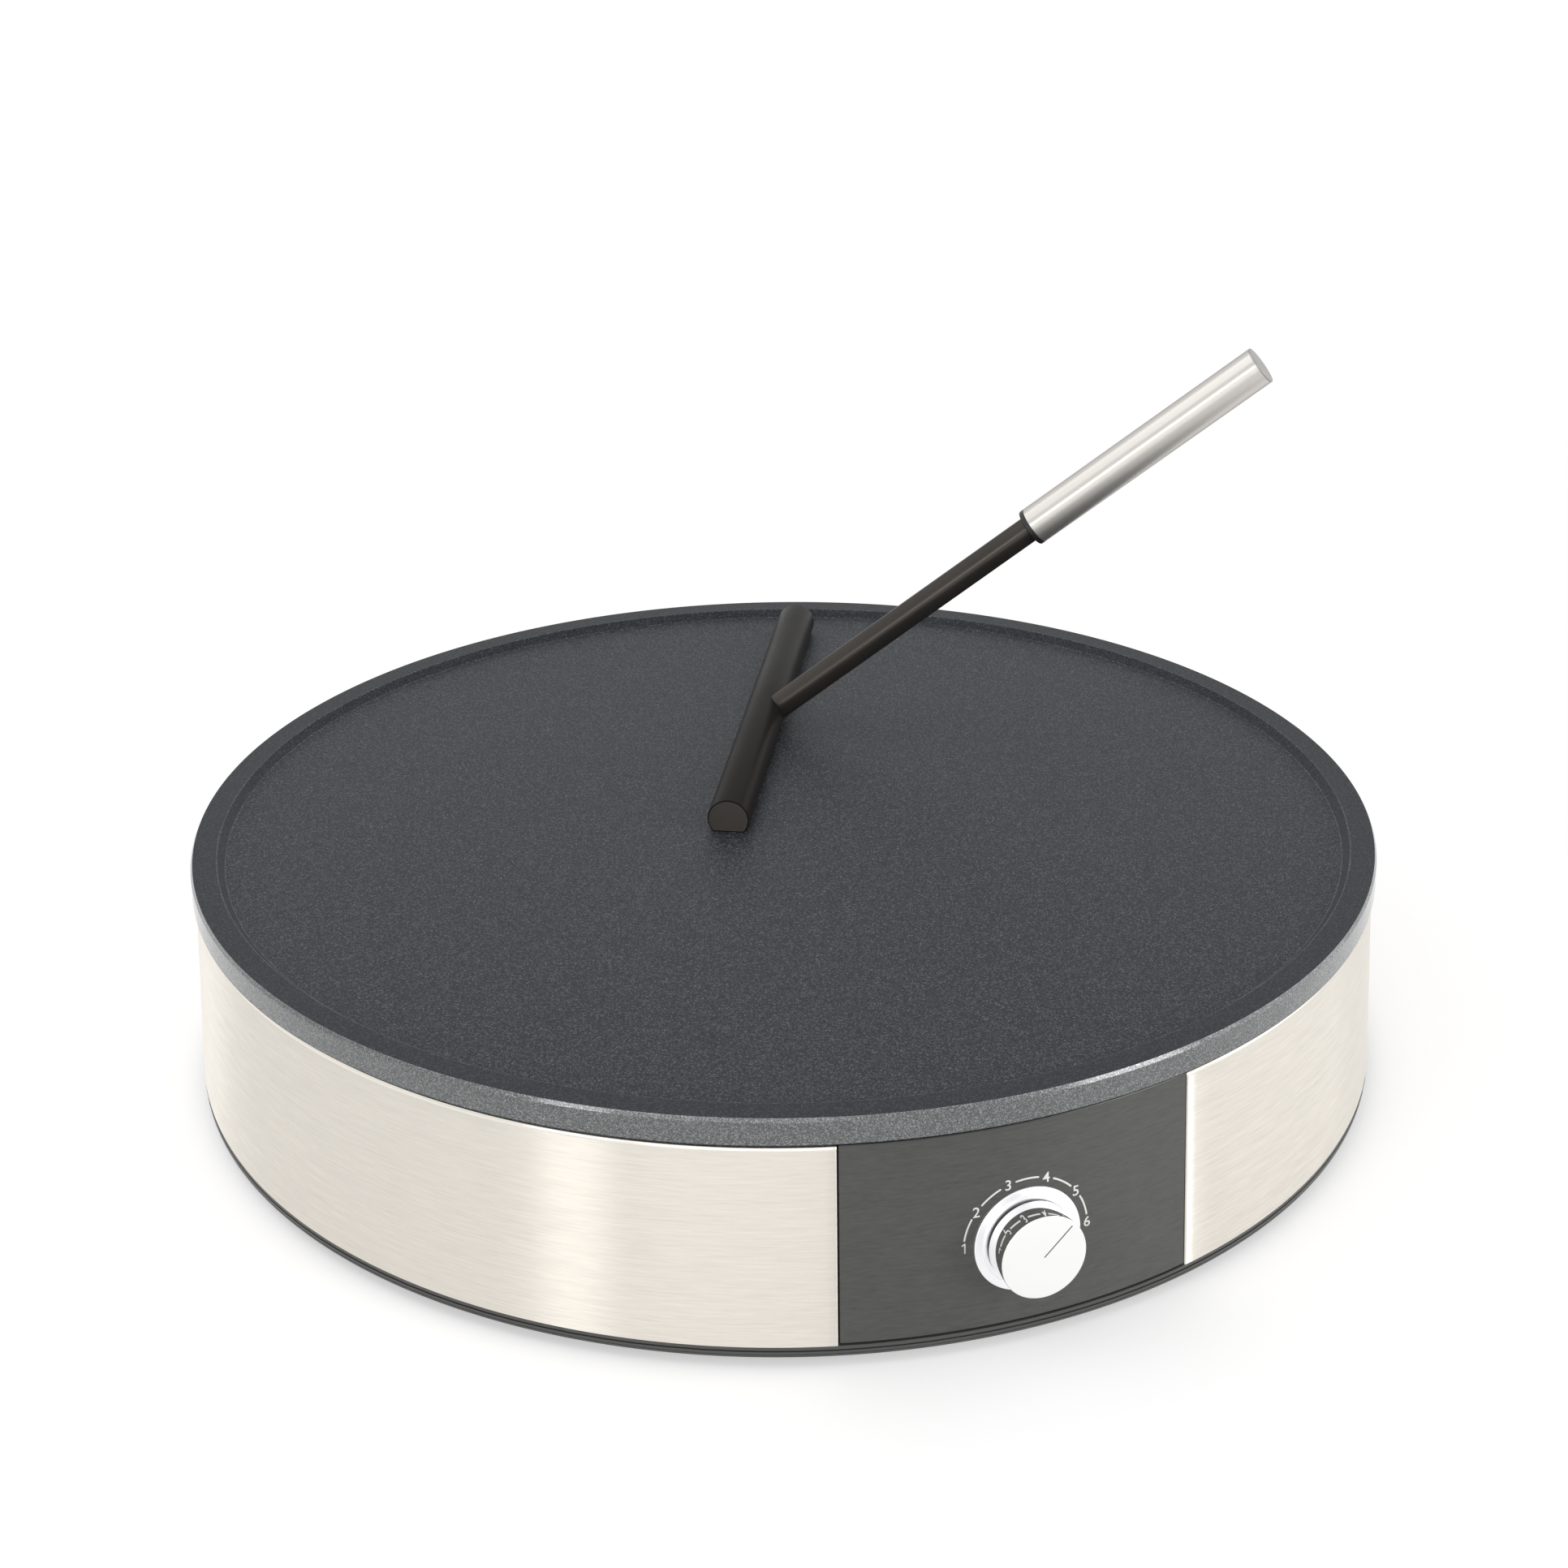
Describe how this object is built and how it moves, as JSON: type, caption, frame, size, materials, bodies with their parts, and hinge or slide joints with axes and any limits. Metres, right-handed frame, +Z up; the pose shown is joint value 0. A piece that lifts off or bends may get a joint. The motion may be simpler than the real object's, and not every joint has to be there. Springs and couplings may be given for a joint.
{
  "type": "electric crepe maker",
  "caption": "Round electric crepe maker with a rimmed dark griddle plate, brushed steel band, dark panel with a front dial, and a T-shaped batter spreader.",
  "frame": {"origin": "middle of the whole footprint, from the knob's face to the cord gland's flange, on the surface that the feet stand on", "axes": "+Z up; the control panel and the dial face -Y; +X is to the right of someone who looks at the dial"},
  "size_m": [0.35, 0.3616, 0.1961],
  "materials": {
    "coated_plate": "dark blue-grey speckled non-stick coating on cast aluminium",
    "element_steel": "heat-darkened steel sheath",
    "ceramic": "matt white ceramic",
    "zinc_steel": "bright zinc-plated steel",
    "shield_aluminium": "plain pressed sheet",
    "brushed_band": "stainless sheet brushed along the band",
    "dark_panel": "anthracite coated sheet brushed along its width",
    "base_plastic": "black moulded plastic, fine matt texture",
    "foot_rubber": "matt black rubber",
    "dial_chrome": "polished side and satin face",
    "brass": "plain brass",
    "copper_tube": "drawn copper",
    "wire_brown": "soft wire insulation",
    "wire_black": "soft wire insulation",
    "wire_blue": "soft wire insulation",
    "wire_green": "soft wire insulation",
    "gland_rubber": "black moulded rubber",
    "spreader_black": "matt black-brown moulded plastic",
    "grip_steel": "stainless tube, turned and brushed around its girth"
  },
  "bodies": {
    "cooker": {"griddle_plate": "coated_plate", "heating_element": "element_steel", "pin_insulators": "ceramic", "element_clips": "zinc_steel", "element_clip_screws": "zinc_steel", "heat_shield": "shield_aluminium", "plate_spacers": "ceramic", "plate_screws": "zinc_steel", "steel_band": "brushed_band", "control_panel": "dark_panel", "base_pan": "base_plastic", "rubber_feet": "foot_rubber", "dial_collar": "dial_chrome", "bush_nut": "brass", "saddle_washer": "zinc_steel", "thermostat_case": "ceramic", "thermostat_tabs": "brass", "sensor_bulb": "copper_tube", "capillary_tube": "copper_tube", "bulb_clips": "zinc_steel", "bulb_clip_screws": "zinc_steel", "thermal_cutoff": "base_plastic", "cutoff_screws": "zinc_steel", "terminal_block": "ceramic", "terminal_screws": "brass", "earth_tag": "brass", "live_wire": "wire_brown", "switched_wire": "wire_black", "element_wire": "wire_black", "neutral_wire": "wire_blue", "earth_wire": "wire_green", "cord_gland": "gland_rubber"},
    "knob": {"knob_cap": "dial_chrome", "knob_core": "base_plastic", "thermostat_spindle": "zinc_steel"},
    "spreader": {"spreader_bar": "spreader_black", "spreader_rod": "spreader_black", "grip_ring": "gland_rubber", "grip_sleeve": "grip_steel", "grip_cap": "grip_steel"}
  },
  "joints": [
    {"name": "knob_turn", "type": "hinge", "parent": "cooker", "child": "knob", "pos_m": [0, -0.17043, 0.03015], "axis": [0, 0.9985, -0.0546], "range_deg": [-138, 46]},
    {"name": "spreader_lift", "type": "slide", "parent": "cooker", "child": "spreader", "axis": [0, 0, 1], "range_m": [0, 0.12]}
  ]
}
